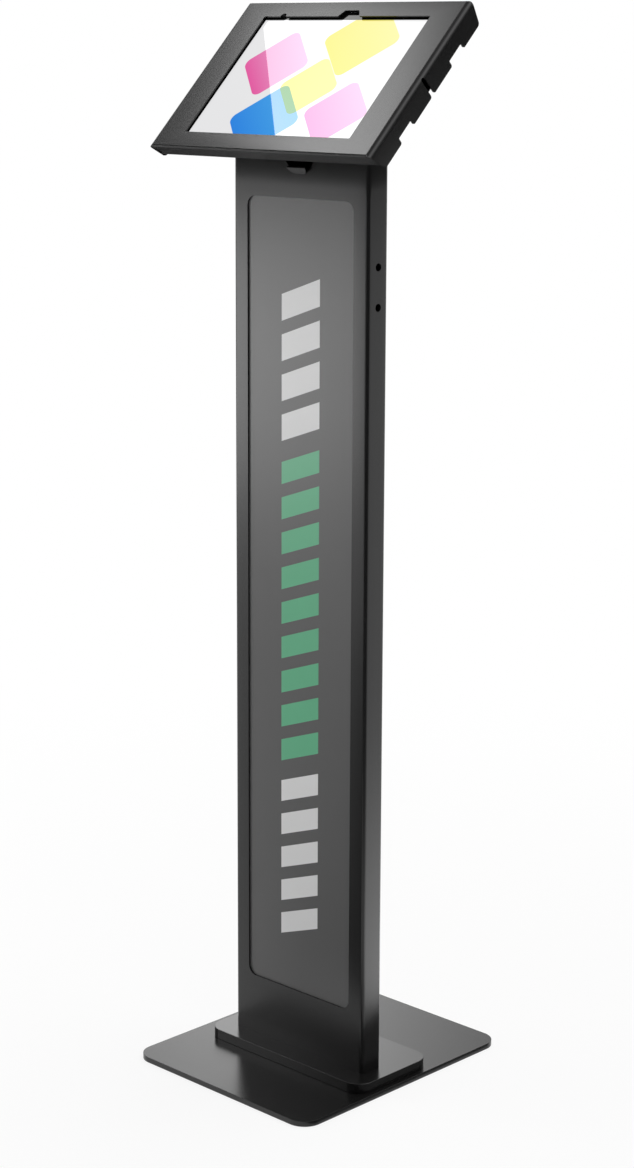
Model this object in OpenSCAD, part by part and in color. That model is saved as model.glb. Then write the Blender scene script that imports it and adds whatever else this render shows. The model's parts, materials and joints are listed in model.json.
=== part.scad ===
// Floor-standing security kiosk for a tablet: a steel base, a folded column with a
// changeable graphic panel, and a locking tablet enclosure that turns on a tilted head.
// Millimetres. The front faces -Y, +X is to the right, and the floor is at z = 0
// under the middle of the base's depth and of the enclosure's width.

/* [Base] */
// Width of the base plate
base_w = 258; // [220:1:320]
// Depth of the base plate
base_d = 308; // [260:1:380]
// Thickness of the base plate
base_t = 6; // [5:0.5:10]
// Corner radius of the base plate
base_r = 21; // [10:1:40]
// How far the base plate sits to the right of the column
base_shift = -8; // [-20:1:20]
// Radius of a floor pad
pad_r = 12; // [8:1:18]
// Thickness of a floor pad
pad_t = 1.2; // [1:0.1:2]
// Depth of the pocket that holds a floor pad
pad_pocket = 0.7; // [0.4:0.1:0.8]
// Distance of a floor pad's centre from the edges of the base
pad_inset = 32; // [20:1:45]

/* [Foot] */
// Width of the foot plate
foot_w = 230; // [210:1:240]
// Depth of the foot plate
foot_d = 112; // [80:1:160]
// Thickness of the foot plate
foot_t = 11; // [6:0.5:16]
// Corner radius of the foot plate
foot_r = 19; // [8:1:30]
// How far the foot's middle lies behind the column's middle
foot_back = 16.5; // [0:0.5:30]
// Height of the threaded bar in the column's lower end
sole_t = 12; // [8:1:20]
// Shank radius of a foot bolt
bolt_r = 4; // [3:0.5:5]
// Head radius of a foot bolt
bolt_head_r = 8; // [6.5:0.5:9]
// Distance between neighbouring foot bolts
bolt_pitch = 50; // [30:1:55]

/* [Column] */
// Width of the column
col_w = 190; // [180:1:205]
// Depth of the column
col_d = 29; // [27:0.5:40]
// Sheet thickness of the column
col_t = 2; // [1.5:0.25:2.5]
// Outer bend radius of the column
col_r = 4.5; // [3.5:0.25:6]
// How far the column's front lies in front of the base's middle
col_front = 40.8; // [30:0.2:60]
// Width of the back lips of the column
back_lip = 22; // [20:1:26]
// Radius of an accessory hole in the column's sides
side_hole_r = 4; // [2:0.25:5]
// Distance between the two accessory holes of a side
side_hole_pitch = 40; // [20:1:60]
// Height of the accessory holes' middle above the foot
side_hole_up = 829.5; // [600:0.5:840]

/* [Graphic panel] */
// Width of the window in the column's front
win_w = 149.5; // [120:0.5:152]
// Height of the window
win_h = 847; // [600:1:855]
// Corner radius of the window
win_r = 10.5; // [4:0.5:20]
// Height of the window's lower edge above the foot
win_up = 66; // [40:1:70]
// Thickness of the graphic panel
panel_t = 2; // [1:0.25:4]
// How far the panel reaches past the window on each side
panel_lap = 7; // [5:0.5:8]
// Thickness of a retainer bar
bar_t = 2; // [1.5:0.25:4]
// Radius of a retainer stud
stud_r = 2; // [1.5:0.25:2.5]
// Number of studs along each side of the panel
stud_count = 5; // [3:1:7]

/* [Back cover] */
// Thickness of the back cover
back_t = 1.5; // [1:0.25:2.5]
// How far the back cover laps over each lip
back_lap = 12; // [10:0.5:14]
// Height of the back cover's lower edge above the foot
back_up = 10; // [5:1:30]
// Radius of the cable exit at the back cover's lower edge
exit_r = 14; // [8:1:25]
// Number of screws along each side of the back cover
back_screws_n = 4; // [3:1:6]

/* [Head] */
// Backward tilt of the enclosure's face
tilt = 45; // [40:1:50]
// Height of the face's centre above the floor
head_z = 1052.3; // [1040:0.1:1150]
// How far the face's centre lies behind the column's front
head_back = 7.7; // [4:0.1:12]
// Thickness of the head plate and its cheeks
plate_t = 3; // [2:0.5:5]
// How far the head plate reaches down the slope from the swivel's axis
plate_down = 44; // [42:1:60]
// How far the head plate reaches up the slope from the swivel's axis
plate_up = 58; // [55:1:80]
// How far the bracket's cheeks reach below the face's centre
cheek_drop = 102; // [90:1:104]
// Radius of the cable hole in the column's front
cable_hole_r = 22; // [12:0.5:22.5]
// How far the cable hole lies below the face's centre
cable_hole_drop = 74.3; // [72:0.1:77]
// Radius of the cable tongue that is bent out of the hole's lower rim
tongue_r = 13; // [10:0.5:20]
// Length of the cable tongue
tongue_l = 9; // [5:0.5:12]
// Angle that the cable tongue leans out by
tongue_lean = 45; // [15:1:60]

/* [Front cover] */
// Width of the front cover
cover_w = 308.5; // [300:0.5:330]
// Height of the front cover's face
cover_h = 204.2; // [200:0.1:220]
// Sheet thickness of the front cover
cover_t = 1.5; // [1:0.1:1.8]
// Depth of the side flanges
side_depth = 25; // [22:0.5:32]
// Outer radius of the side bends
side_r = 6.2; // [4:0.1:8]
// Depth of the top and bottom lips
lip_depth = 19; // [12:0.1:20]
// Angle by which the lips lean inward
lip_slope = 18; // [5:1:18]
// Outer radius of the lips' bends
lip_r = 1.8; // [1.7:0.1:4]
// Gap between a lip's end and the side flange
corner_gap = 0.6; // [0.3:0.1:1]
// Width of the viewing window
view_w = 229; // [200:0.5:232]
// Height of the viewing window
view_h = 161.8; // [140:0.1:164]
// Width of a notch in a side flange
notch_w = 23.5; // [10:0.5:40]
// Depth of a notch in a side flange
notch_d = 6.5; // [3:0.5:10]
// Distance of a notch's middle from the flange's middle
notch_v = 50.3; // [30:0.1:60]
// Corner radius of the notches and tabs
tab_r = 2.5; // [1:0.25:3]
// Radius of the corners at a side flange's ends
end_r = 4.5; // [1:0.25:6]
// Width of the cable slit in the right flange
slit_w = 5; // [2:0.25:8]

/* [Tablet] */
// Width of the tablet
tablet_w = 248.6; // [240:0.1:250]
// Height of the tablet
tablet_h = 179.5; // [170:0.1:180]
// Thickness of the tablet
tablet_t = 7; // [6:0.1:9]
// Corner radius of the tablet
tablet_r = 18; // [8:0.5:22]
// Wall thickness of the tablet's housing
tablet_wall = 2.2; // [1.5:0.1:3]
// Thickness of the tablet's glass
glass_t = 0.8; // [0.5:0.1:1.2]
// Width of the lit picture
picture_w = 227.1; // [200:0.1:232]
// Height of the lit picture
picture_h = 157.8; // [140:0.1:160]
// Travel of a button
button_travel = 0.3; // [0.2:0.05:0.5]

/* [Tray] */
// Sheet thickness of the tray
tray_t = 1.5; // [1:0.1:2]
// Gap between the tray and the cover's flanges
tray_gap = 1.25; // [0.8:0.05:2]
// Depth of the tray's back behind the cover's face
tray_back = 20; // [18:0.5:21]
// Height of the tray
tray_h = 185; // [184.5:0.1:185.5]
// Thickness of the gasket between the cover and the glass
gasket_t = 1.9; // [1:0.1:2.5]

/* [Swivel] */
// Radius of the rotor's flange
rotor_r = 62; // [58:1:70]
// Thickness of the rotor's flange
rotor_t = 2.5; // [2:0.25:4]
// Radius of the rotor's neck
neck_r = 25; // [20:0.5:27]
// Radius of the cable passage through the rotor
passage_r = 17; // [10:0.5:18]
// Thickness of a friction washer
washer_t = 0.7; // [0.5:0.1:1.5]
// Outer radius of a friction washer
washer_r = 40; // [34:1:42]
// Height of the ring nut
nut_t = 5; // [4:0.5:8]
// Distance between the screws that hold the tray on the rotor
screw_pitch = 75; // [70:1:80]
// Angle that the enclosure turns through
turn = 90; // [45:1:100]
// Radius of the circle that the stop pin runs on
stop_circle = 47; // [46:0.5:49]
// Radius of the stop pin
stop_r = 3; // [2:0.25:3.5]

/* [Lock] */
// Distance of the lock's axis from the tray's left wall
lock_in = 13; // [12:0.5:14]
// Radius of the lock's plug
plug_r = 4.5; // [3.5:0.25:5]
// Wall of the lock's barrel
barrel_wall = 1.5; // [1:0.25:2]
// Length of the cam from the lock's axis
cam_l = 9.5; // [9:0.25:10]
// Thickness of the cam and of its keeper
cam_t = 1.5; // [1:0.25:2]

/* [Hidden] */
$fn = 64;

// Overshoot of a cut past the face that it opens
over = 1;
// Gap of parts that are set into each other and don't move
fit_gap = 0.1;
// Radial gap of a turning fit
run_gap = 0.05;
// Gap between a screw's thread and its tapped hole
thread_gap = 0.05;
// Gap round a screw in a plain hole
hole_gap = 0.2;

// Heights of the stacked plates
base_z = pad_t - pad_pocket;
foot_z = base_z + base_t;
col_z = foot_z + foot_t;

// Places along the depth
col_mid = -col_front + col_d / 2;
col_back = -col_front + col_d;
front_in = -col_front + col_t;
back_in = col_back - col_t;
head_y = -col_front + head_back;

// Column details
bolt_x = [for (i = [-1.5:1:1.5]) i * bolt_pitch];
open_half = col_w / 2 - back_lip;
win_z = col_z + win_up + win_h / 2;
side_hole_z = col_z + side_hole_up;
panel_w = win_w + 2 * panel_lap;
panel_h = win_h + 2 * panel_lap;
panel_back = front_in + panel_t;
stud_shoulder = 1.5;
stud_x = panel_w / 2 + stud_r + stud_shoulder + 0.8;
stud_step = win_h / (stud_count - 1) * 0.94;
stud_z = [for (i = [0:stud_count - 1]) win_z + (i - (stud_count - 1) / 2) * stud_step];
bar_lap = 5;
bar_in = panel_w / 2 - bar_lap;
bar_out = stud_x + stud_r + 2;
bar_end = 12;
nut_r = stud_r * 1.95;
nut_h = stud_r * 1.6;

// Head stack, as depths behind the cover's face
rotor_back = tray_back + rotor_t;
plate_front = rotor_back + washer_t + fit_gap;
plate_back = plate_front + plate_t;
neck_end = plate_back + washer_t + nut_t + 3 * fit_gap;

// Height of a plane behind the face, at one place along the depth
function slope_z(y, depth) = head_z + (y - head_y) * tan(tilt) - depth / cos(tilt);

// Head bracket details
cheek_z = head_z - cheek_drop;
cheek_out = col_w / 2 - col_t;
inner_r = col_r - col_t;
bracket_flange = back_lip - col_t;
bracket_screw_r = 3;
bracket_screw_step = 34;
bracket_screw_z = [for (i = [0, 1]) cheek_z + 14 + i * bracket_screw_step];

// Back cover, which ends below the swivel's ring nut
back_top = slope_z(col_back, plate_back) - 20;
back_bottom = col_z + back_up;
back_half = open_half + back_lap;
back_screw_r = 2;
back_screw_x = open_half + back_lap / 2;
back_screw_end = 30;
back_screw_step = (cheek_z - back_bottom - 2 * back_screw_end) / (back_screws_n - 1);
back_screw_z = [for (i = [0:back_screws_n - 1]) back_bottom + back_screw_end + i * back_screw_step];

// Enclosure details
tray_w = cover_w - 2 * (cover_t + tray_gap);
tray_in_w = tray_w - 2 * tray_t;
tray_in_h = tray_h - 2 * tray_t;
tray_r = 3;
tray_floor = tray_back - tray_t;
tray_rim = cover_t + 0.3;
side_rim = side_r - 1.4;
glass_d = cover_t + gasket_t + fit_gap;
tablet_back = glass_d + tablet_t;
tablet_lip = 0.9;
housing_d = glass_d + fit_gap;
ledge_d = glass_d + glass_t;
case_back = 0.8;
case_in = tablet_back - case_back;
screen_t = 1.6;
screen_border = 1.5;
rotor_screw_r = 2.5;
rotor_screw_head_r = 4.5;
rotor_screw_head_t = 2.3;
rotor_screws_at = [for (x = [-1, 1], y = [-1, 1]) [x * screw_pitch / 2, y * screw_pitch / 2]];

// Stop pin and its slot, which lies up the slope from the axis
stop_angle = 90 - turn / 2;
slot_gap = 0.3;

// Cut-outs in the viewing window's upper edge
camera_cut_w = 31;
camera_cut_h = 8;
camera_cut_flare = 6;
sensor_in = 27;
sensor_r = 4;
gasket_lap = 3;
gasket_in = 2;

// Buttons: power in the left side, volume in the top side
button_w = 2.4;
button_out = 0.5;
button_in = 1;
button_flange = 0.6;
button_gap = 0.15;
button_d = (glass_d + tablet_back) / 2;
power_len = 12;
power_v = tablet_h / 2 - tablet_r - power_len / 2 - 4;
volume_len = 10;
volume_step = 16;
volume_u = -tablet_w / 2 + tablet_r + volume_len + 4;

// Foam that holds the tablet
block_gap = 13;
block_l = 28;
pad_edge = 6;
foam_w = 48;
foam_end = 15;
foam_r = 4;

// Insides of the tablet
inside_w = tablet_w - 2 * tablet_wall;
inside_h = tablet_h - 2 * tablet_wall;
board_end = 9;
board_h = 26;
board_t = 1.2;
cell_gap = 4;
cell_w = inside_w / 2 - cell_gap - 16;
cell_h = inside_h - 2 * board_end - board_h - 2 * cell_gap;
cell_v = -(board_h + cell_gap) / 2;
camera_u = 5;
camera_r = 2.6;
camera_t = 3;

// Lock on the left side, its cam turning in front of the cover's keeper
lock_u = -(tray_w / 2 - lock_in);
barrel_r = plug_r + run_gap + barrel_wall;
barrel_flange_r = barrel_r + 2;
barrel_flange_t = 2;
barrel_end = tray_floor - 7;
cam_back = barrel_end - 0.4;
cam_front = cam_back - cam_t;
cam_w = 7;
cam_stub_r = 2.5;
keeper_front = cam_back + 0.5;
keeper_w = 14;
keeper_tip = lock_u - barrel_r - 0.6;
lock_nut_t = 2.5;
lock_nut_r = barrel_r + 2.5;

powder_black = [0.16, 0.16, 0.17];
zinc = [0.62, 0.62, 0.64];
rubber_black = [0.05, 0.05, 0.05];
panel_grey = [0.42, 0.42, 0.42];
foam_black = [0.09, 0.09, 0.1];
aluminium = [0.75, 0.76, 0.78];

// Puts a piece into the head's own frame: x across, y up the slope, z out of the face
module head() {
    translate([0, head_y, head_z]) rotate([tilt, 0, 0]) children();
}

// Extrudes a section (across, outward) along the slope, centred
module along_slope(length) {
    rotate([90, 0, 0]) linear_extrude(length, center = true) children();
}

// Extrudes a section (up the slope, outward) across the width, centred
module across_width(length) {
    rotate([90, 0, 90]) linear_extrude(length, center = true) children();
}

// Slab of a plan, from one depth behind the face to a lesser one
module slab(deep, shallow) {
    translate([0, 0, -deep]) linear_extrude(deep - shallow) children();
}

// Disc or post along the head's axis, from one depth behind the face to a lesser one
module post(r, deep, shallow) {
    translate([0, 0, -deep]) cylinder(r = r, h = deep - shallow);
}

// Rectangle with round corners, centred
module round_rect(w, h, r) {
    square([w - 2 * r, h], center = true);
    square([w, h - 2 * r], center = true);
    for (x = [-1, 1], y = [-1, 1]) translate([x * (w / 2 - r), y * (h / 2 - r)]) circle(r);
}

// Slot with round ends, its long side along x, centred
module oblong(length, w) {
    square([length - w, w], center = true);
    for (x = [-1, 1]) translate([x * (length - w) / 2, 0]) circle(w / 2);
}

// Block with two round upper corners, its top at y = 0
module bent_top(w, depth, r) {
    translate([-w / 2, -depth]) square([w, depth - r]);
    translate([-w / 2 + r, -depth]) square([w - 2 * r, depth]);
    for (x = [-1, 1]) translate([x * (w / 2 - r), -r]) circle(r);
}

// Block with leaning sides and two round upper corners, its skin taken in by inset
module leaning_top(half, depth, inset) {
    corner = half - lip_r * (1 + sin(lip_slope)) / cos(lip_slope);
    r = lip_r - inset;
    edge = half - inset / cos(lip_slope) - depth * tan(lip_slope);
    shoulder = [corner + r * cos(lip_slope), -lip_r - r * sin(lip_slope)];
    polygon([
        [-corner, -inset], [corner, -inset], shoulder, [edge, -depth],
        [-edge, -depth], [-shoulder[0], shoulder[1]]
    ]);
    for (x = [-1, 1]) translate([x * corner, -lip_r]) circle(r);
}

// Countersunk screw pointing up, its head's face at z = 0
module countersunk(r, head_r, length) {
    cylinder(r1 = head_r, r2 = r, h = head_r - r);
    cylinder(r = r, h = length);
}

// Button-head screw pointing along +z, its head below z = 0
module button_screw(r, length) {
    translate([0, 0, -1.1 * r]) cylinder(r1 = 1.3 * r, r2 = 1.8 * r, h = 0.7 * r);
    translate([0, 0, -0.4 * r]) cylinder(r = 1.8 * r, h = 0.4 * r);
    cylinder(r = r, h = length);
}

// Turns a piece that points along +z to point forward, out of the column's back
module from_back(x, z) {
    translate([x, col_back, z]) rotate([90, 0, 0]) children();
}

module pad_places() {
    for (x = [-1, 1], y = [-1, 1])
        translate([base_shift + x * (base_w / 2 - pad_inset), y * (base_d / 2 - pad_inset), 0]) children();
}

module bolt_places() {
    for (x = bolt_x) translate([x, col_mid, 0]) children();
}

module base_plate() {
    color(powder_black) difference() {
        translate([base_shift, 0, base_z]) linear_extrude(base_t) round_rect(base_w, base_d, base_r);
        pad_places() cylinder(r = pad_r + fit_gap, h = pad_t);
        bolt_places() translate([0, 0, base_z - over])
            countersunk(bolt_r + hole_gap, bolt_head_r + over + hole_gap, base_t + 2 * over);
    }
}

module base_pads() {
    color(rubber_black) pad_places() cylinder(r = pad_r, h = pad_t);
}

module foot_plate() {
    color(powder_black) difference() {
        translate([0, col_mid + foot_back, foot_z]) linear_extrude(foot_t) round_rect(foot_w, foot_d, foot_r);
        bolt_places() translate([0, 0, foot_z - over]) cylinder(r = bolt_r + hole_gap, h = foot_t + 2 * over);
    }
}

module foot_bolts() {
    color(zinc) bolt_places() translate([0, 0, base_z])
        countersunk(bolt_r - thread_gap, bolt_head_r, base_t + foot_t + sole_t - 1);
}

// Threaded bar that closes the column's lower end and takes the foot bolts
module column_sole() {
    color(zinc) difference() {
        translate([0, col_mid, col_z]) linear_extrude(sole_t)
            round_rect(col_w - 2 * col_t, col_d - 2 * col_t, inner_r);
        bolt_places() translate([0, 0, col_z - over]) cylinder(r = bolt_r, h = sole_t + 2 * over);
    }
}

// Folded channel of the column: front, two sides and two lips at the back
module column_section() {
    difference() {
        round_rect(col_w, col_d, col_r);
        round_rect(col_w - 2 * col_t, col_d - 2 * col_t, inner_r);
        translate([-open_half, 0]) square([2 * open_half, col_d]);
    }
}

// Everything in front of one depth behind the face, for cutting the column's top on the slope
module above_depth(depth) {
    reach = 2 * col_w;
    head() translate([-reach / 2, -reach / 2, -depth]) cube([reach, reach, reach]);
}

module stud_places() {
    for (x = [-1, 1], z = stud_z) translate([x * stud_x, front_in, z]) rotate([-90, 0, 0]) children();
}

module column_shell() {
    color(powder_black) {
        column_sheet();
        cable_tongue();
    }
}

// Folded sheet of the column with its openings and the studs for the panel
module column_sheet() {
    difference() {
        union() {
            translate([0, col_mid, col_z]) linear_extrude(head_z - col_z) column_section();
            stud_places() {
                translate([0, 0, -col_t / 2]) cylinder(r = stud_r + stud_shoulder, h = col_t / 2 + panel_t);
                cylinder(r = stud_r - thread_gap, h = panel_t + bar_t + nut_h + 2);
            }
        }
        above_depth(plate_back);
        translate([0, -col_front - over, win_z]) rotate([-90, 0, 0])
            linear_extrude(col_t + 2 * over) round_rect(win_w, win_h, win_r);
        translate([0, -col_front - over, head_z - cable_hole_drop]) rotate([-90, 0, 0])
            cylinder(r = cable_hole_r, h = col_t + 2 * over);
        for (z = [-1, 1]) translate([-col_w / 2 - over, col_mid, side_hole_z + z * side_hole_pitch / 2])
            rotate([0, 90, 0]) cylinder(r = side_hole_r, h = col_w + 2 * over);
        for (x = [-1, 1], z = back_screw_z) from_back(x * back_screw_x, z)
            translate([0, 0, -over]) cylinder(r = back_screw_r, h = col_t + 2 * over);
        for (x = [-1, 1], z = bracket_screw_z) from_back(x * back_screw_x, z)
            translate([0, 0, -over]) cylinder(r = bracket_screw_r + hole_gap, h = col_t + 2 * over);
    }
}

// Half-round tongue that leans out of the cable hole, with its bend in the column's front
module cable_tongue() {
    rise = 0.85 * tongue_r;
    bend_half = sqrt(pow(tongue_r, 2) - pow(rise, 2));
    translate([0, -col_front + col_t / 2, head_z - cable_hole_drop - cable_hole_r - col_t / 4]) {
        rotate([0, 90, 0]) cylinder(r = col_t / 2, h = 2 * bend_half, center = true);
        rotate([90 + tongue_lean, 0, 0]) linear_extrude(col_t, center = true) intersection() {
            translate([0, rise]) circle(tongue_r);
            translate([-tongue_r, 0]) square([2 * tongue_r, tongue_l]);
        }
    }
}

module graphic_panel() {
    color(panel_grey) translate([0, front_in, win_z]) rotate([-90, 0, 0])
        linear_extrude(panel_t) round_rect(panel_w, panel_h, 3);
}

// Two bars that clamp the panel's long edges against the column's front
module panel_retainers() {
    color(zinc) for (x = [-1, 1]) difference() {
        translate([x * (bar_in + bar_out) / 2, panel_back, win_z]) rotate([-90, 0, 0])
            linear_extrude(bar_t) round_rect(bar_out - bar_in, win_h + bar_end, 2);
        for (z = stud_z) translate([x * stud_x, panel_back - over, z]) rotate([-90, 0, 0])
            cylinder(r = stud_r + hole_gap, h = bar_t + 2 * over);
    }
}

module retainer_nuts() {
    color(zinc) stud_places() translate([0, 0, panel_t + bar_t]) difference() {
        cylinder(r = nut_r, h = nut_h, $fn = 6);
        translate([0, 0, -over]) cylinder(r = stud_r, h = nut_h + 2 * over);
    }
}

module back_cover() {
    color(powder_black) difference() {
        translate([0, col_back, (back_top + back_bottom) / 2]) rotate([-90, 0, 0])
            linear_extrude(back_t) round_rect(2 * back_half, back_top - back_bottom, 4);
        translate([0, col_back - over, back_bottom]) rotate([-90, 0, 0]) cylinder(r = exit_r, h = back_t + 2 * over);
        for (x = [-1, 1], z = back_screw_z) from_back(x * back_screw_x, z)
            translate([0, 0, -back_t - over]) cylinder(r = back_screw_r + hole_gap, h = back_t + 2 * over);
        for (x = [-1, 1], z = bracket_screw_z) from_back(x * back_screw_x, z)
            translate([0, 0, -back_t - over]) cylinder(r = bracket_screw_r + hole_gap, h = back_t + 2 * over);
    }
}

module back_cover_screws() {
    color(zinc) for (x = [-1, 1], z = back_screw_z) from_back(x * back_screw_x, z)
        translate([0, 0, -back_t]) button_screw(back_screw_r - thread_gap, back_t + col_t + 2);
}

// Angle section of one bracket cheek: a web on the column's side, a flange on its lip
module cheek_section() {
    translate([cheek_out - inner_r, back_in - inner_r]) circle(inner_r);
    translate([cheek_out - plate_t, front_in + inner_r]) square([plate_t, back_in - front_in - 2 * inner_r]);
    translate([cheek_out - bracket_flange, back_in - plate_t]) square([bracket_flange - inner_r, plate_t]);
}

// Plate across the column's sloping top, with two cheeks that reach down inside the column
module head_bracket() {
    color(powder_black) difference() {
        union() {
            head() slab(plate_back, plate_front)
                translate([-col_w / 2, -plate_down]) square([col_w, plate_down + plate_up]);
            difference() {
                for (x = [0, 1]) mirror([x, 0, 0]) translate([0, 0, cheek_z])
                    linear_extrude(cheek_drop) cheek_section();
                above_depth(plate_back - plate_t / 2);
            }
        }
        head() post(neck_r + run_gap, plate_back + over, plate_front - over);
        head() stop_slot();
        for (x = [-1, 1], z = bracket_screw_z) from_back(x * back_screw_x, z)
            cylinder(r = bracket_screw_r, h = col_t + plate_t + over);
    }
}

// Curved slot that the stop pin runs in
module stop_slot() {
    translate([0, 0, -plate_back - over]) {
        rotate([0, 0, stop_angle]) rotate_extrude(angle = turn)
            translate([stop_circle - stop_r - slot_gap, 0]) square([2 * (stop_r + slot_gap), plate_t + 2 * over]);
        for (a = [stop_angle, stop_angle + turn]) rotate([0, 0, a]) translate([stop_circle, 0, 0])
            cylinder(r = stop_r + slot_gap, h = plate_t + 2 * over);
    }
}

module bracket_screws() {
    color(zinc) for (x = [-1, 1], z = bracket_screw_z) from_back(x * back_screw_x, z)
        translate([0, 0, -back_t]) button_screw(bracket_screw_r - thread_gap, back_t + col_t + plate_t + 1);
}

module rotor_screw_holes(r, deep, shallow) {
    for (at = rotor_screws_at) translate(at) post(r, deep, shallow);
}

// Flanged hollow hub that carries the tray and turns in the head plate
module swivel_rotor() {
    color(zinc) head() difference() {
        union() {
            post(rotor_r, rotor_back, tray_back);
            post(neck_r, neck_end, tray_back);
        }
        post(passage_r, neck_end + over, tray_back - over);
        rotor_screw_holes(rotor_screw_r, rotor_back + over, tray_back - over);
        rotate([0, 0, stop_angle]) translate([stop_circle, 0, 0]) post(stop_r, rotor_back + over, tray_back - over);
    }
}

module ring(outer, inner, deep, shallow) {
    difference() {
        post(outer, deep, shallow);
        post(inner, deep + over, shallow - over);
    }
}

module front_washer() {
    color(rubber_black) head() ring(washer_r, neck_r + fit_gap, plate_front - fit_gap, rotor_back);
}

module rear_washer() {
    color(zinc) head() ring(neck_r + 8, neck_r + fit_gap, plate_back + fit_gap + washer_t, plate_back + fit_gap);
}

// Ring nut with four spanner slots, on the end of the rotor's neck
module ring_nut() {
    front = plate_back + washer_t + 2 * fit_gap;
    color(zinc) head() difference() {
        ring(neck_r + 7, neck_r, front + nut_t, front);
        for (a = [45:90:315]) rotate([0, 0, a]) translate([neck_r + 7, 0, -front - nut_t / 2])
            cube([6, 6, nut_t + 2 * over], center = true);
    }
}

module stop_pin() {
    color(zinc) head() rotate([0, 0, stop_angle]) translate([stop_circle, 0, 0])
        post(stop_r, plate_back - 0.5, tray_back);
}

module rotor_screws() {
    color(zinc) head() {
        rotor_screw_holes(rotor_screw_r - thread_gap, rotor_back - 0.2, tray_floor);
        rotor_screw_holes(rotor_screw_head_r, tray_floor, tray_floor - rotor_screw_head_t);
    }
}

// Sheet pan that holds the tablet, with gaps in its sides for the keeper and the cable
module enclosure_tray() {
    cable_gap = 18;
    keeper_gap = keeper_w + 4;
    color(powder_black) head() difference() {
        slab(tray_back, tray_rim) round_rect(tray_w, tray_h, tray_r);
        slab(tray_floor, tray_rim - over) round_rect(tray_in_w, tray_in_h, tray_r - tray_t);
        for (x = [-1, 1]) translate([x * tray_w / 2, 0, -side_rim / 2])
            cube([6 * tray_r, tray_h + 2 * over, side_rim], center = true);
        translate([-tray_w / 2 - over, -keeper_gap / 2, -keeper_front - cam_t - 1])
            cube([tray_t + 2 * over, keeper_gap, tray_back]);
        translate([tray_w / 2 - tray_t - over, -cable_gap / 2, -tray_floor])
            cube([tray_t + 2 * over, cable_gap, tray_back]);
        post(passage_r, tray_back + over, tray_floor - over);
        rotor_screw_holes(rotor_screw_r + hole_gap, tray_back + over, tray_floor - over);
        translate([lock_u, 0, 0]) post(barrel_r + fit_gap, tray_back + over, tray_floor - over);
        for (x = [-1, 1], y = [-2:2]) translate([x * (rotor_r + 28), y * 24, 0])
            slab(tray_back + over, tray_floor - over) oblong(26, 5);
    }
}

// Foam blocks that centre the tablet between the tray's sides
module side_blocks() {
    near = lock_nut_r + block_gap;
    far = near + block_l;
    inner = tablet_w / 2 + fit_gap;
    color(foam_black) head() for (x = [-1, 1], y = [-1, 1])
        translate([x * (inner + tray_in_w / 2) / 2, y * (near + far) / 2, 0])
            slab(tray_floor, glass_d + 1) square([tray_in_w / 2 - inner, far - near], center = true);
}

// Foam pads that press the tablet against the gasket
module back_pads() {
    outer = tablet_w / 2 - pad_edge;
    color(foam_black) head() for (x = [-1, 1]) translate([x * (outer - foam_w / 2), 0, 0])
        slab(tray_floor, tablet_back) round_rect(foam_w, tablet_h - 2 * foam_end, foam_r);
}

module tablet_plan(inset) {
    round_rect(tablet_w - 2 * inset, tablet_h - 2 * inset, tablet_r - inset);
}

// Places a button's outline, with its travel along +z, into the tablet's side or top
module at_power() {
    translate([-tablet_w / 2, power_v, -button_d]) rotate([0, 90, 0]) rotate([0, 0, 90]) children();
}

module at_volume(i) {
    translate([volume_u + i * volume_step, tablet_h / 2, -button_d]) rotate([90, 0, 0]) children();
}

module button_hole(length) {
    translate([0, 0, -over]) linear_extrude(tablet_wall + 2 * over)
        oblong(length + 2 * button_gap, button_w + 2 * button_gap);
}

module button(length) {
    translate([0, 0, -button_out]) linear_extrude(button_out + tablet_wall + button_in) oblong(length, button_w);
    translate([0, 0, tablet_wall + button_gap]) linear_extrude(button_in - button_gap)
        oblong(length + 2 * button_flange, button_w + 2 * button_flange);
}

module tablet_housing() {
    color(aluminium) head() difference() {
        slab(tablet_back, housing_d) tablet_plan(0);
        slab(ledge_d, housing_d - over) tablet_plan(tablet_lip - fit_gap);
        slab(case_in, housing_d - over) tablet_plan(tablet_wall);
        at_power() button_hole(power_len);
        for (i = [0, 1]) at_volume(i) button_hole(volume_len);
        translate([tablet_w / 2 - tablet_wall - over, 0, -button_d]) rotate([0, 90, 0]) rotate([0, 0, 90])
            linear_extrude(tablet_wall + 2 * over) oblong(9, 3.2);
    }
}

module tablet_glass() {
    color([0.03, 0.03, 0.04]) head() slab(ledge_d, glass_d) tablet_plan(tablet_lip);
}

module tablet_display() {
    color([0.85, 0.88, 0.92]) head() slab(ledge_d + screen_t, ledge_d)
        round_rect(picture_w + 2 * screen_border, picture_h + 2 * screen_border, 4);
}

module tablet_battery() {
    color([0.12, 0.12, 0.13]) head() for (x = [-1, 1]) translate([x * (cell_w + cell_gap) / 2, cell_v, 0])
        slab(case_in, ledge_d + screen_t + cell_gap / 10) round_rect(cell_w, cell_h, 2);
}

module tablet_board() {
    color([0.1, 0.25, 0.16]) head() translate([0, inside_h / 2 - board_end - board_h / 2, 0])
        slab(case_in, case_in - board_t) round_rect(2 * cell_w, board_h, 1);
}

module tablet_camera() {
    color([0.03, 0.03, 0.04]) head() translate([camera_u, (tablet_h + picture_h) / 4, 0])
        post(camera_r, ledge_d + camera_t, ledge_d);
}

module power_button() {
    color(aluminium) head() at_power() button(power_len);
}

module volume_up_button() {
    color(aluminium) head() at_volume(1) button(volume_len);
}

module volume_down_button() {
    color(aluminium) head() at_volume(0) button(volume_len);
}

module at_lock() {
    head() translate([lock_u, 0, 0]) children();
}

module lock_barrel() {
    color(zinc) at_lock() difference() {
        union() {
            post(barrel_r, tray_back + barrel_flange_t, barrel_end);
            post(barrel_flange_r, tray_back + barrel_flange_t, tray_back);
        }
        post(plug_r + run_gap, tray_back + barrel_flange_t + over, barrel_end - over);
    }
}

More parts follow.
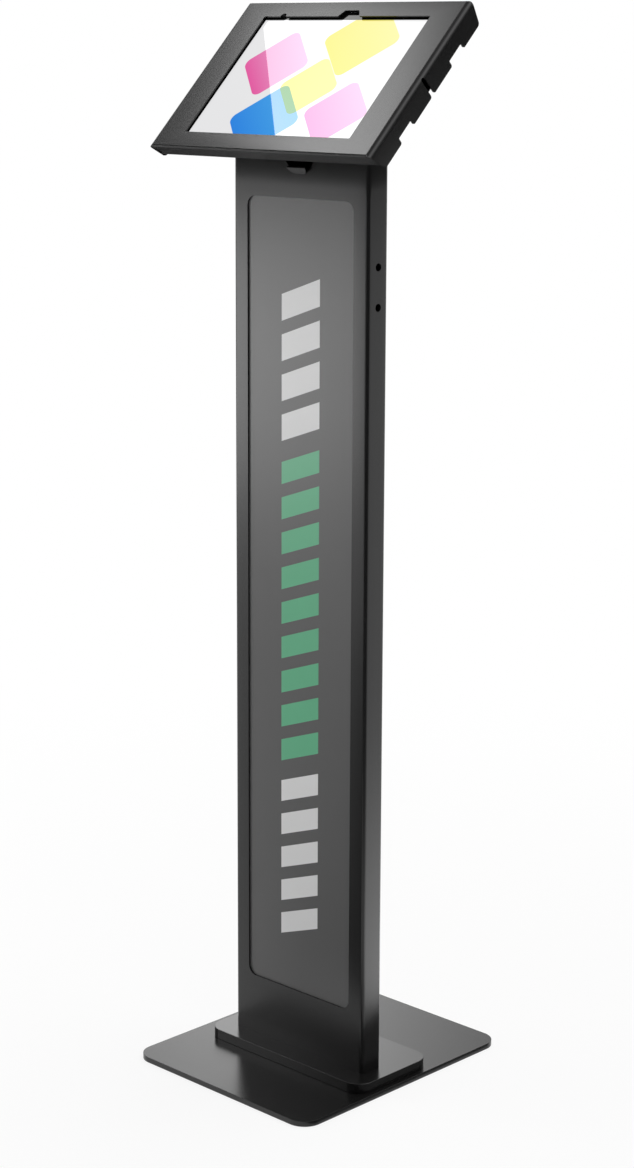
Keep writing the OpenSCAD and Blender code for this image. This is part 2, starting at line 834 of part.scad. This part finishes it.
module lock_nut() {
    color(zinc) at_lock() difference() {
        translate([0, 0, -tray_floor]) cylinder(r = lock_nut_r, h = lock_nut_t, $fn = 6);
        post(barrel_r + run_gap, tray_floor + over, tray_floor - lock_nut_t - over);
    }
}

// Plug with its key slot, and the stub that carries the cam
module lock_plug() {
    face = tray_back + barrel_flange_t;
    key_w = 1.6;
    color(zinc) at_lock() difference() {
        union() {
            post(plug_r, face, barrel_end);
            post(cam_stub_r, face, cam_front);
        }
        translate([0, 0, -face]) cube([key_w, 1.3 * plug_r, 8], center = true);
    }
}

module lock_cam() {
    color(zinc) at_lock() difference() {
        slab(cam_back, cam_front) {
            circle(cam_w / 2);
            translate([-cam_w / 2, 0]) square([cam_w, cam_l]);
        }
        post(cam_stub_r + fit_gap / 2, cam_back + over, cam_front - over);
    }
}

module cam_screw() {
    color(zinc) at_lock() post(cam_stub_r + 1, cam_front, cam_front - 1.6);
}

// Section across the cover: its face, two side bends and two side flanges
module cover_across() {
    difference() {
        bent_top(cover_w, side_depth, side_r);
        translate([0, -cover_t]) bent_top(cover_w - 2 * cover_t, side_depth, side_r - cover_t);
        square([cover_w - 2 * side_r, 4 * side_depth], center = true);
    }
}

// Section along the cover: its face, two bends and two leaning lips
module cover_along() {
    difference() {
        leaning_top(cover_h / 2, lip_depth, 0);
        leaning_top(cover_h / 2, lip_depth + over, cover_t);
    }
}

// Where the lips may reach, so that their ends follow the side bends at a gap
module lip_ends() {
    gap = cover_t + corner_gap;
    translate([-cover_w / 2 + side_r, -lip_depth - over])
        square([cover_w - 2 * side_r, lip_depth + 2 * over]);
    translate([0, -gap]) bent_top(cover_w - 2 * gap, lip_depth + over, side_r - gap);
}

// Notch that opens downward at y = 0: round at its root, its mouth rounding the tabs beside it
module tab_notch(w, depth, root_r) {
    translate([-w / 2, -over]) square([w, depth + over - root_r]);
    translate([-w / 2 + root_r, -over]) square([w - 2 * root_r, depth + over]);
    for (x = [-1, 1]) {
        translate([x * (w / 2 - root_r), depth - root_r]) circle(root_r);
        difference() {
            translate([x * (w / 2 + tab_r / 2), 0]) square([tab_r, 2 * tab_r], center = true);
            translate([x * (w / 2 + tab_r), tab_r]) circle(tab_r);
        }
    }
}

// Outline of a side flange (up the slope, outward), its ends leaning like the lips
module side_outline() {
    half = cover_h / 2;
    edge = half - side_depth * tan(lip_slope);
    middle = [edge - end_r * tan(45 - lip_slope / 2), -side_depth + end_r];
    difference() {
        polygon([[-half, 0], [half, 0], [edge, -side_depth], [-edge, -side_depth]]);
        for (x = [-1, 1]) translate([x * notch_v, -side_depth]) tab_notch(notch_w, notch_d, 1);
        for (x = [0, 1]) mirror([x, 0]) difference() {
            polygon([
                middle, [middle[0], -side_depth - over], [edge + over, -side_depth - over],
                middle + (end_r + over) * [cos(lip_slope), -sin(lip_slope)]
            ]);
            translate(middle) circle(end_r);
        }
    }
}

// Folded frame over the tablet, with its viewing window and the keeper for the lock
module front_cover() {
    slit_start = 2.4;
    color(powder_black) head() difference() {
        union() {
            intersection() {
                along_slope(cover_h) cover_across();
                across_width(cover_w + 2 * over) side_outline();
            }
            difference() {
                intersection() {
                    across_width(cover_w) cover_along();
                    along_slope(cover_h) lip_ends();
                }
                lip_relief();
            }
            translate([-cover_w / 2 + cover_t / 2, -keeper_w / 2, -keeper_front - cam_t])
                cube([keeper_tip + cover_w / 2 - cover_t / 2, keeper_w, cam_t]);
        }
        slab(cover_t + over, -over) view_window();
        translate([cover_w / 2, 0, 0]) across_width(2 * side_r) translate([0, -side_depth])
            tab_notch(slit_w, side_depth - slit_start, slit_w / 2 - 0.05);
    }
}

// Viewing window with the cut-outs for the tablet's camera and light sensor
module view_window() {
    round_rect(view_w, view_h, 1.5);
    translate([camera_u, view_h / 2 - over]) polygon([
        [-camera_cut_w / 2, 0], [camera_cut_w / 2, 0],
        [camera_cut_w / 2 - camera_cut_flare, camera_cut_h + over],
        [-camera_cut_w / 2 + camera_cut_flare, camera_cut_h + over]
    ]);
    translate([-view_w / 2 + sensor_in, view_h / 2]) circle(sensor_r);
}

// Round relief in the left end of the bottom lip
module lip_relief() {
    relief_r = 6;
    relief_d = 11.5;
    translate([-cover_w / 2 + 0.8, -cover_h / 2, -relief_d]) rotate([-90, 0, 0])
        cylinder(r = relief_r, h = 2 * relief_r);
}

module cover_gasket() {
    margin = gasket_lap;
    color(rubber_black) head() difference() {
        slab(cover_t + gasket_t, cover_t)
            round_rect(tablet_w - 2 * gasket_in, tablet_h - 2 * gasket_in, tablet_r - gasket_in);
        slab(cover_t + gasket_t + over, cover_t - over) {
            round_rect(view_w + 2 * margin, view_h + 2 * margin, 2);
            translate([camera_u, tablet_h / 2])
                square([camera_cut_w + 2 * margin, tablet_h - view_h + margin], center = true);
        }
    }
}

base_plate();
base_pads();
foot_plate();
foot_bolts();
column_shell();
column_sole();
graphic_panel();
panel_retainers();
retainer_nuts();
back_cover();
back_cover_screws();
head_bracket();
bracket_screws();
swivel_rotor();
front_washer();
rear_washer();
ring_nut();
stop_pin();
rotor_screws();
enclosure_tray();
side_blocks();
back_pads();
tablet_housing();
tablet_glass();
tablet_display();
tablet_battery();
tablet_board();
tablet_camera();
power_button();
volume_up_button();
volume_down_button();
lock_barrel();
lock_nut();
lock_plug();
lock_cam();
cam_screw();
front_cover();
cover_gasket();
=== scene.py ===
"""Looks of a tablet security kiosk stand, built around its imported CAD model."""

import json
import math

import bmesh
import bpy
from mathutils import Matrix, Vector


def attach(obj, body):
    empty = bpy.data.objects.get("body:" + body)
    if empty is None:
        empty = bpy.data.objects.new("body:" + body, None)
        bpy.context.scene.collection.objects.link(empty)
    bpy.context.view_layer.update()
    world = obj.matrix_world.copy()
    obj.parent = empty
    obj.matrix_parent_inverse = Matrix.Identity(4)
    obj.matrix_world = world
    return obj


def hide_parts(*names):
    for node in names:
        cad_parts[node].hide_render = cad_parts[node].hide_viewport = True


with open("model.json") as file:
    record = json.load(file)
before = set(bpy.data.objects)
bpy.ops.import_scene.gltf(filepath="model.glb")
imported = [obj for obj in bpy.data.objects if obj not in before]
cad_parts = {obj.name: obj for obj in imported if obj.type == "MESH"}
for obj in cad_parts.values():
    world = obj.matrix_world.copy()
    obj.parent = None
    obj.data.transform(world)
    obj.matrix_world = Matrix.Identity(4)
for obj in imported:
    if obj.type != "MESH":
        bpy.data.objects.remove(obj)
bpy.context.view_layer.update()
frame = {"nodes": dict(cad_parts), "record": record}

record = frame["record"]
body_of_node = {node: body for body, nodes in record["behaviour"]["bodies"].items() for node in nodes}
slot_of_node = {part["node"]: part["material_slot"] for part in record["subparts"]}

# Places of the stand that the looks refer to. All lengths are in metres.
HEAD = Vector((0, -0.0331, 1.0523))
FACE_UP = Vector((0, 1, 1)).normalized()
FACE_OUT = Vector((0, -1, 1)).normalized()
PICTURE_WIDTH = 0.2271
PICTURE_HEIGHT = 0.1578


class Value:
    """A socket of a node; arithmetic on it adds Math nodes."""

    def __init__(self, nodes, socket):
        self.nodes = nodes
        self.socket = socket

    def math(self, operation, *others):
        return self.nodes.add("ShaderNodeMath", {"operation": operation}, [self, *others])

    def __add__(self, other):
        return self.math("ADD", other)

    __radd__ = __add__

    def __sub__(self, other):
        return self.math("SUBTRACT", other)

    def __rsub__(self, other):
        return self.nodes.add("ShaderNodeMath", {"operation": "SUBTRACT"}, [other, self])

    def __mul__(self, other):
        return self.math("MULTIPLY", other)

    __rmul__ = __mul__

    def __truediv__(self, other):
        return self.math("DIVIDE", other)

    def __abs__(self):
        return self.math("ABSOLUTE")

    def __gt__(self, other):
        return self.math("GREATER_THAN", other)

    def __lt__(self, other):
        return self.math("LESS_THAN", other)

    def root(self):
        return self.math("SQRT")

    def larger(self, other):
        return self.math("MAXIMUM", other)

    def wrapped(self, step):
        return self.math("WRAP", step, 0)

    def ramp(self, low, high):
        """0 at low, 1 at high and a smooth rise between."""
        settings = {"interpolation_type": "SMOOTHSTEP"}
        return self.nodes.add("ShaderNodeMapRange", settings, [self, low, high, 0, 1])


class Nodes:
    """A node tree that is filled from Python expressions."""

    def __init__(self, tree):
        self.tree = tree
        tree.nodes.clear()

    def add(self, kind, settings, inputs, out=0):
        """Adds one node: its settings first, then its sockets by number or by name."""
        node = self.tree.nodes.new(kind)
        for name, value in settings.items():
            setattr(node, name, value)
        pairs = inputs.items() if isinstance(inputs, dict) else enumerate(inputs)
        for key, value in pairs:
            if isinstance(value, Value):
                self.tree.links.new(value.socket, node.inputs[key])
            else:
                node.inputs[key].default_value = value
        return Value(self, node.outputs[out]) if node.outputs else node

    def place(self):
        return self.add("ShaderNodeTexCoord", {}, [], "Object")

    def along(self, direction, origin=(0, 0, 0)):
        """Distance of a point from origin along a direction, in metres."""
        offset = self.add("ShaderNodeVectorMath", {"operation": "SUBTRACT"}, [self.place(), tuple(origin)])
        dot = {"operation": "DOT_PRODUCT"}
        return self.add("ShaderNodeVectorMath", dot, [offset, tuple(direction)], "Value")

    def stretched(self, scale):
        return self.add("ShaderNodeVectorMath", {"operation": "MULTIPLY"}, [self.place(), scale])

    def noise(self, scale, detail, place=None):
        inputs = {"Vector": place or self.place(), "Scale": scale, "Detail": detail}
        return self.add("ShaderNodeTexNoise", {}, inputs)

    def cells(self, scale):
        return self.add("ShaderNodeTexVoronoi", {}, {"Vector": self.place(), "Scale": scale})

    def tint(self, amount, first, second, blend="MIX"):
        settings = {"data_type": "RGBA", "blend_type": blend}
        return self.add("ShaderNodeMix", settings, {0: amount, 6: colour(first), 7: colour(second)}, 2)

    def bump(self, height, strength, distance):
        inputs = {"Strength": strength, "Distance": distance, "Height": height}
        return self.add("ShaderNodeBump", {}, inputs)

    def surface(self, **sockets):
        """The finish's shader; a socket's name has _ for its spaces."""
        inputs = {name.replace("_", " "): value for name, value in sockets.items()}
        shader = self.add("ShaderNodeBsdfPrincipled", {}, inputs)
        self.add("ShaderNodeOutputMaterial", {}, [shader])


def colour(value):
    """A grey number or three numbers as a colour; a link stays a link."""
    if isinstance(value, Value):
        return value
    if isinstance(value, (int, float)):
        return (value, value, value, 1)
    return (*value, 1)


def scaled(shade, share):
    return [channel * share for channel in shade]


def material(name):
    made = bpy.data.materials.new(name)
    made.use_nodes = True
    return made, Nodes(made.node_tree)


# Finishes. A noise or cell scale counts features per metre, and a bump's distance is their height.

def powder_coat(name, shade, roughness, gloss=0.5):
    """Satin powder coat with its fine orange peel and a faint cloudiness."""
    made, nodes = material(name)
    cloud = nodes.noise(11, detail=3)
    peel = nodes.noise(2200, detail=2)
    nodes.surface(
        Base_Color=nodes.tint(cloud, shade * 0.85, shade * 1.2),
        Roughness=roughness + 0.02 * (cloud - 0.5) + 0.015 * (peel - 0.5),
        Normal=nodes.bump(peel, strength=0.03, distance=0.00003),
        Specular_IOR_Level=gloss,
    )
    return made


def moulded(name, shade, roughness, grain):
    """Moulded rubber or plastic with a fine grained skin."""
    made, nodes = material(name)
    skin = nodes.cells(grain)
    cloud = nodes.noise(30, detail=3)
    nodes.surface(
        Base_Color=nodes.tint(cloud, scaled(shade, 0.8), scaled(shade, 1.2)),
        Roughness=roughness + 0.1 * (skin - 0.5),
        Normal=nodes.bump(skin, strength=0.2, distance=0.0001),
    )
    return made


def foam(name, shade):
    """Open foam: round pores of two sizes, each darker towards its middle by painted shade."""
    made, nodes = material(name)
    pores = nodes.cells(900)
    coarse = nodes.cells(340)
    nodes.surface(
        # Painted shade: the colour darkens towards each pore's middle, where the bump sinks into a pit.
        Base_Color=nodes.tint(pores, shade * 0.4, shade * 1.5),
        Roughness=0.9 + 0.1 * (pores - 0.5),
        Normal=nodes.bump(pores + 0.6 * coarse, strength=0.6, distance=0.0004),
    )
    return made


def plated_steel(name, shade, roughness):
    """Plated steel with crystals and fine drawing marks."""
    made, nodes = material(name)
    crystals = nodes.cells(500)
    marks = nodes.noise(60, detail=3, place=nodes.stretched((1, 1, 40)))
    nodes.surface(
        Base_Color=nodes.tint(crystals, scaled(shade, 0.75), shade),
        Metallic=1.0,
        Roughness=roughness + 0.15 * (marks - 0.5),
        Normal=nodes.bump(marks, strength=0.08, distance=0.0001),
    )
    return made


def blasted_aluminium(name, shade):
    """Bead-blasted and anodised aluminium."""
    made, nodes = material(name)
    beads = nodes.noise(2600, detail=1)
    cloud = nodes.noise(20, detail=2)
    nodes.surface(
        Base_Color=nodes.tint(cloud, scaled(shade, 0.92), shade),
        Metallic=1.0,
        Roughness=0.34 + 0.1 * (beads - 0.5),
        Normal=nodes.bump(beads, strength=0.1, distance=0.00005),
    )
    return made


def circuit_board(name):
    """Green solder mask with tracks and pale pads."""
    made, nodes = material(name)
    tracks = nodes.add("ShaderNodeTexBrick", {}, {"Vector": nodes.place(), "Scale": 160}, "Fac")
    pads = nodes.cells(260) < 0.22
    mask = nodes.tint(tracks, (0.01, 0.09, 0.035), (0.02, 0.16, 0.07))
    nodes.surface(
        Base_Color=nodes.tint(pads, mask, (0.7, 0.62, 0.4)),
        Roughness=0.45 - 0.15 * pads,
        Normal=nodes.bump(tracks, strength=0.2, distance=0.0001),
    )
    return made


BAR_HALF_WIDTH = 0.027
BAR_LEAN = 0.35
BAR_PITCH = 0.036
BAR_GAP = 0.014
PALE_INK = (0.80, 0.80, 0.80)
GREEN_INK = (0.115, 0.47, 0.255)
# Groups of bars: top, bottom, ink.
BAR_GROUPS = (
    (0.842, 0.690, PALE_INK),
    (0.668, 0.346, GREEN_INK),
    (0.324, 0.152, PALE_INK),
)


def panel_print(name):
    """Grey printed panel: fine paper grain, with slanted bars in three groups."""
    made, nodes = material(name)
    across = nodes.along((1, 0, 0))
    height = nodes.along((0, 0, 1))
    grain = nodes.noise(1500, detail=2)
    cloud = nodes.noise(6, detail=3)
    printed = nodes.tint(cloud, 0.093, 0.102)
    lean = height - BAR_LEAN * across
    in_band = abs(across) < BAR_HALF_WIDTH
    for top, bottom, ink in BAR_GROUPS:
        count = round((top - bottom) / BAR_PITCH)
        step = (top - bottom + BAR_GAP) / count
        inside = (lean < top) * (lean > bottom) * in_band
        bar = inside * ((lean - bottom).wrapped(step) < step - BAR_GAP)
        printed = nodes.tint(bar, printed, nodes.tint(cloud, scaled(ink, 0.94), ink))
    nodes.surface(
        Base_Color=printed,
        Roughness=0.30 + 0.06 * (grain - 0.5),
        Normal=nodes.bump(grain, strength=0.06, distance=0.00005),
    )
    return made


TILE_TURN = math.radians(45)
TILE_CORNER = 0.009
TILE_EDGE_BLUR = 0.0003
# Tiles of the screen's design: centre across and up, size, colour at the start and at the end.
TILES = (
    ((0.040, 0.052), 0.074, (0.96, 0.80, 0.02), (1.0, 0.93, 0.30)),
    ((-0.056, 0.018), 0.066, (0.95, 0.10, 0.42), (1.0, 0.50, 0.80)),
    ((0.010, -0.012), 0.058, (1.0, 0.82, 0.03), (0.98, 0.88, 0.20)),
    ((-0.020, -0.058), 0.070, (0.0, 0.26, 0.92), (0.05, 0.45, 0.98)),
    ((0.070, -0.046), 0.062, (0.93, 0.18, 0.58), (1.0, 0.55, 0.85)),
)


def tilted_tile(across, up, centre, size):
    """Mask of a turned square tile with round corners, and a value that runs across it."""
    x = across - centre[0]
    y = up - centre[1]
    along = math.cos(TILE_TURN) * x + math.sin(TILE_TURN) * y
    side = math.cos(TILE_TURN) * y - math.sin(TILE_TURN) * x
    straight = size / 2 - TILE_CORNER
    dx = (abs(along) - straight).larger(0)
    dy = (abs(side) - straight).larger(0)
    away = (dx * dx + dy * dy).root()
    return 1 - away.ramp(TILE_CORNER - TILE_EDGE_BLUR, TILE_CORNER + TILE_EDGE_BLUR), along / size + 0.5


def lit_glass(name):
    """Cover glass: black border, lit picture of tilted tiles, smooth face with faint smears."""
    made, nodes = material(name)
    across = nodes.along((1, 0, 0), HEAD)
    up = nodes.along(FACE_UP, HEAD)
    inside = (abs(across) < PICTURE_WIDTH / 2) * (abs(up) < PICTURE_HEIGHT / 2)
    picture = nodes.tint((across + up).ramp(-0.15, 0.2), (0.80, 0.80, 0.81), (0.86, 0.86, 0.86))
    for centre, size, start, end in TILES:
        mask, run = tilted_tile(across, up, centre, size)
        picture = nodes.tint(mask, picture, nodes.tint(run, start, end), "MULTIPLY")
    smears = nodes.noise(35, detail=4)
    nodes.surface(
        Base_Color=nodes.tint(smears, 0.004, 0.006),
        Roughness=0.008 + 0.006 * smears,
        Emission_Color=nodes.tint(inside, 0.0, picture),
        Emission_Strength=0.95,
        Specular_IOR_Level=0.36,
    )
    return made


def lens(name):
    """Dark camera lens with a coated glint."""
    made, nodes = material(name)
    coat = nodes.noise(900, detail=1)
    nodes.surface(
        Base_Color=nodes.tint(coat, (0.004, 0.005, 0.01), (0.012, 0.012, 0.03)),
        Roughness=0.06 + 0.04 * coat,
        Coat_Weight=0.6,
    )
    return made


finishes = {
    "powder_black": powder_coat("satin_black_powder_coat", 0.0055, 0.26),
    "rubber_black": moulded("black_rubber", (0.012, 0.012, 0.012), 0.72, 700),
    "zinc_steel": plated_steel("zinc_plated_steel", (0.62, 0.62, 0.60), 0.34),
    "panel_grey": panel_print("printed_panel"),
    "washer_plastic": moulded("slide_washer_plastic", (0.55, 0.54, 0.50), 0.5, 900),
    "foam_black": foam("black_foam", 0.02),
    "tablet_aluminium": blasted_aluminium("anodised_aluminium", (0.66, 0.67, 0.69)),
    "tablet_glass": lit_glass("lit_cover_glass"),
    "screen": moulded("display_film", (0.5, 0.5, 0.52), 0.3, 900),
    "inner_plastic": moulded("cell_wrap", (0.02, 0.02, 0.022), 0.5, 800),
    "lock_chrome": plated_steel("lock_chrome_plate", (0.78, 0.79, 0.80), 0.16),
}
# Nodes whose finish differs from the rest of their slot.
node_finishes = {
    "foot_plate": powder_coat("foot_powder_coat", 0.0055, 0.24, gloss=0.72),
    "tablet_board": circuit_board("solder_mask"),
    "tablet_camera": lens("camera_lens"),
}


# Pieces.

# Where the front cover's side bends start across, its lips start up and down, and the lips' round.
COVER_BEND_START = 0.14804
COVER_LIP_START = 0.09962
COVER_LIP_ROUND = 0.0018

SAME_POINT = 2e-6
SAME_PLANE = math.radians(0.4)
SHARP_ANGLE = math.radians(32)

# How far each dressed node's sharp edges are rounded.
EDGE_ROUNDS = {
    "base_plate": 0.0006,
    "foot_plate": 0.0008,
    "column_shell": 0.0003,
    "graphic_panel": 0.0002,
    "front_cover": 0.0003,
    "enclosure_tray": 0.0003,
    "back_cover": 0.0003,
    "head_bracket": 0.0003,
    "base_pads": 0.0005,
    "tablet_housing": 0.0008,
    "tablet_glass": 0.0003,
    "ring_nut": 0.0003,
    "swivel_rotor": 0.0003,
    "lock_barrel": 0.0003,
    "lock_plug": 0.0002,
    "lock_cam": 0.0002,
    "foot_bolts": 0.0003,
    "back_cover_screws": 0.0002,
    "bracket_screws": 0.0002,
}


def ease_cover_corners(work):
    """Rounds the ends of the cover's side bends as far as the lips beside them are rounded."""
    for vert in work.verts:
        height = (vert.co - HEAD).dot(FACE_UP)
        depth = (HEAD - vert.co).dot(FACE_OUT)
        if abs(vert.co.x) > COVER_BEND_START and depth < COVER_LIP_ROUND:
            rise = math.sqrt(COVER_LIP_ROUND ** 2 - (COVER_LIP_ROUND - max(depth, 0)) ** 2)
            excess = max(abs(height) - COVER_LIP_START - rise, 0)
            vert.co -= math.copysign(excess, height) * FACE_UP


def dressed(node):
    """Copies a CAD node with its sharp edges rounded, and shows the copy in the node's place."""
    mesh = frame["nodes"][node].data.copy()
    mesh.name = node + "_dressed"
    work = bmesh.new()
    work.from_mesh(mesh)
    if node == "front_cover":
        ease_cover_corners(work)
    bmesh.ops.remove_doubles(work, verts=work.verts, dist=SAME_POINT)
    bmesh.ops.dissolve_limit(work, angle_limit=SAME_PLANE, verts=work.verts, edges=work.edges)
    work.to_mesh(mesh)
    work.free()
    for layer in ("custom_normal", "sharp_edge"):
        if layer in mesh.attributes:
            mesh.attributes.remove(mesh.attributes[layer])
    mesh.shade_smooth()
    piece = bpy.data.objects.new(node + "_dressed", mesh)
    bpy.context.scene.collection.objects.link(piece)
    rounding = piece.modifiers.new("rounded_edges", "BEVEL")
    rounding.limit_method = "ANGLE"
    rounding.angle_limit = SHARP_ANGLE
    rounding.width = EDGE_ROUNDS[node]
    rounding.segments = 2
    rounding.profile = 0.5
    rounding.use_clamp_overlap = True
    rounding.harden_normals = True
    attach(piece, body_of_node[node])
    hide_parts(node)
    return piece


def paint(piece, node):
    """Gives a piece the finish of its node."""
    finish = node_finishes.get(node) or finishes[slot_of_node[node]]
    piece.data.materials.clear()
    piece.data.materials.append(finish)


for node_name, node_object in frame["nodes"].items():
    paint(dressed(node_name) if node_name in EDGE_ROUNDS else node_object, node_name)


# Stage: floor, wall, cards, soft boxes, world and camera.

FLOOR_REACH = 60
WALL_RADIUS = 50
WALL_HEIGHT = 11
WALL_MIDDLE = (0, 0, 4.5)
# A lying card is this far above the floor.
CARD_LEVEL = 0.0004
# Standing cards: one lower end, the other, and the height of the lower and the upper edge.
STANDING_CARDS = {
    "flange_card": ((0.81, 1.99), (1.97, 0.89), 0.82, 1.5),
    "horizon_card": ((-2.93, -1.33), (-1.21, -2.99), 0.5, 1.4),
    "camera_card": ((-0.03, -1.16), (1.16, -0.03), 0, 1.05),
    "lip_card": ((-0.3, -0.14), (0.12, -0.14), 0.931, 0.965),
    "side_card": ((0.165, -0.1), (0.165, 0.2), 0.936, 0.968),
    "foot_card": ((0.16, -0.3), (0.16, 0.5), 0, 0.045),
    "head_card": ((-0.73, 0.0), (-0.47, 0.43), 0.42, 0.85),
}
LYING_CARDS = {
    "column_card": ((-0.215, -0.24), (-1.36, -1.46), (-0.2, -2), (0.1, -0.24)),
    "base_card": ((0.125, -0.3), (0.25, -0.3), (0.25, 0.5), (0.125, 0.5)),
}
# Level directions in the photograph's view: to the camera, and to its right.
TO_CAMERA = Vector((0.69, -0.724, 0))
TO_RIGHT = Vector((0.724, 0.69, 0))


def stage_piece(name, work, finish):
    """A piece of the studio from a finished bmesh."""
    mesh = bpy.data.meshes.new(name)
    work.to_mesh(mesh)
    work.free()
    mesh.materials.append(finish)
    piece = bpy.data.objects.new(name, mesh)
    bpy.context.scene.collection.objects.link(piece)
    return piece


def flat_sheet(corners):
    work = bmesh.new()
    work.faces.new([work.verts.new(corner) for corner in corners])
    return work


def white_in_view(nodes, shade, share):
    """A pale surface that shows part of a plain white in view, and keeps the shadows that fall on it."""
    rays = ("Is Camera Ray", "Is Glossy Ray", "Is Transmission Ray")
    camera_ray, glossy_ray, through_ray = [nodes.add("ShaderNodeLightPath", {}, [], ray) for ray in rays]
    matt = nodes.add("ShaderNodeBsdfDiffuse", {}, {"Color": shade})
    white = nodes.add("ShaderNodeEmission", {}, {"Strength": 1.0})
    amount = share * (camera_ray + glossy_ray + through_ray)
    mixed = nodes.add("ShaderNodeMixShader", {}, [amount, matt, white])
    nodes.add("ShaderNodeOutputMaterial", {}, [mixed])


def studio_floor():
    """A wide pale floor that takes the stand's soft shadow."""
    made, nodes = material("pale_floor")
    away = nodes.add("ShaderNodeVectorMath", {"operation": "LENGTH"}, [nodes.place()], "Value")
    shade = nodes.tint(nodes.noise(2, detail=2), 0.93, 0.95)
    white_in_view(nodes, shade, 0.84 + 0.16 * away.ramp(0.1, 1.6))
    reach = FLOOR_REACH
    stage_piece(
        "studio_floor",
        flat_sheet([(-reach, -reach, 0), (reach, -reach, 0), (reach, reach, 0), (-reach, reach, 0)]),
        made,
    )


def studio_wall():
    """A round white wall at the floor's far end."""
    made, nodes = material("pale_wall")
    white_in_view(nodes, nodes.tint(nodes.noise(1, detail=2), 0.93, 0.95), 1.0)
    work = bmesh.new()
    bmesh.ops.create_cone(
        work,
        cap_ends=False,
        segments=64,
        radius1=WALL_RADIUS,
        radius2=WALL_RADIUS,
        depth=WALL_HEIGHT,
        matrix=Matrix.Translation(WALL_MIDDLE),
    )
    wall = stage_piece("studio_wall", work, made)
    wall.visible_diffuse = False
    wall.visible_shadow = False


def black_card(name, corners):
    """A card beside the stand that only shows in its gloss, as a photographer's flag does."""
    made, nodes = material(name + "_cloth")
    cloth = nodes.noise(40, detail=2)
    nodes.surface(Base_Color=nodes.tint(cloth, 0.13, 0.15), Roughness=0.9, Specular_IOR_Level=0.0)
    card = stage_piece(name, flat_sheet(corners), made)
    card.visible_camera = False
    card.visible_diffuse = False
    card.visible_shadow = False


def studio_cards():
    """Cards that darken the gloss of the enclosure, the column, the foot and the base."""
    for name, (start, end, low, high) in STANDING_CARDS.items():
        black_card(name, [(*start, low), (*end, low), (*end, high), (*start, high)])
    for name, corners in LYING_CARDS.items():
        black_card(name, [(*corner, CARD_LEVEL) for corner in corners])


def sheet_of_light(name, centre, across, up, near, far, skew=0):
    """A soft box: its glow runs from near to far going up, and falls by skew going across."""
    work = bmesh.new()
    turn = Matrix((across, up, across.cross(up))).transposed().to_4x4()
    place = Matrix.Translation(centre) @ turn
    bmesh.ops.create_grid(work, x_segments=2, y_segments=2, size=1, matrix=place)
    made, nodes = material(name + "_glow")
    run = nodes.along(up.normalized() / up.length / 2, centre - up)
    side = nodes.along(across.normalized() / across.length / 2, centre)
    strength = (near + (far - near) * run) * (1 - skew * side).larger(0)
    glow = nodes.add("ShaderNodeEmission", {}, {"Strength": strength})
    nodes.add("ShaderNodeOutputMaterial", {}, [glow])
    box = stage_piece(name, work, made)
    box.visible_camera = False
    box.visible_shadow = False
    return box


def soft_boxes():
    """A box over the head, one at the front left and a bright sheet on the floor at the right."""
    overhead_up = Vector((0.708, 0.021, 0.706))
    sheet_of_light(
        "overhead_box",
        centre=Vector((-1.171, -0.067, 2.18)) + 0.24 * overhead_up,
        across=0.45 * (Vector((-0.029, 0.9996, 0)) - 0.0884 * overhead_up),
        up=0.25 * overhead_up,
        near=6.8,
        far=0.2,
        skew=2.1,
    )
    sheet_of_light(
        "front_left_box",
        centre=Vector((-1.22, -1.0, 0.58)),
        across=0.35 * Vector((0.625, -0.78, 0)),
        up=Vector((0, 0, 0.225)),
        near=4.0,
        far=4.9,
    )
    floor_glow = sheet_of_light(
        "right_floor_sheet",
        centre=Vector((0.62, 0.50, 0.0006)),
        across=Vector((0.29, -0.28, 0)),
        up=Vector((0.37, 0.38, 0)),
        near=3.0,
        far=1.0,
    )
    floor_glow.visible_diffuse = False


def studio_world():
    """A studio painted by direction: bright behind the stand and dim in front."""
    world = bpy.data.worlds.new("studio")
    world.use_nodes = True
    bpy.context.scene.world = world
    nodes = Nodes(world.node_tree)
    direction = nodes.add("ShaderNodeTexCoord", {}, [], "Generated")

    def facing(axis):
        dot = {"operation": "DOT_PRODUCT"}
        return nodes.add("ShaderNodeVectorMath", dot, [direction, tuple(axis)], "Value")

    rise = facing((0, 0, 1))
    front = facing(TO_CAMERA)
    back = facing(-TO_CAMERA)
    right = facing(TO_RIGHT)
    left = facing(-TO_RIGHT)
    low = 1 - rise.ramp(0.15, 0.6)
    strip = 0.3 + 3.2 * (1 - abs(right + 0.035).ramp(0, 0.12))
    behind = strip * back.ramp(0.3, 0.8) * (1 - rise.ramp(0.42, 0.6))
    top = 0.5 + 2.3 * right.ramp(-0.1, 0.35) * rise.ramp(0.5, 0.8)
    dim = 0.45 * front.ramp(0.1, 0.7) + 0.42 * right.ramp(0.45, 0.9) + 0.42 * left.ramp(0.5, 0.9)
    sky = (behind + top - low * dim).larger(0.04)
    glow = nodes.add("ShaderNodeBackground", {}, {"Strength": sky})
    nodes.add("ShaderNodeOutputWorld", {}, [glow])


PHOTO_HEIGHT_PIXELS = 1168
FOCAL_LENGTH_PIXELS = 2434.91
SENSOR_MM = 36
CAMERA_PLACE = (1.72208, -1.80340, 1.09850)
CAMERA_DOWN_DEGREES = 12.23
CAMERA_TURN_DEGREES = 44.92


def camera():
    """The photograph's view."""
    lens_data = bpy.data.cameras.new("camera")
    lens_data.lens = SENSOR_MM * FOCAL_LENGTH_PIXELS / PHOTO_HEIGHT_PIXELS
    lens_data.sensor_width = SENSOR_MM
    lens_data.shift_x = 0.0365
    lens_data.shift_y = -0.0248
    lens_data.clip_end = 200
    made = bpy.data.objects.new("camera", lens_data)
    made.location = CAMERA_PLACE
    made.rotation_euler = (math.radians(90 - CAMERA_DOWN_DEGREES), 0, math.radians(CAMERA_TURN_DEGREES))
    bpy.context.scene.collection.objects.link(made)
    bpy.context.scene.camera = made


studio_floor()
studio_wall()
studio_cards()
soft_boxes()
studio_world()
camera()

bpy.context.scene.view_settings.view_transform = "Standard"
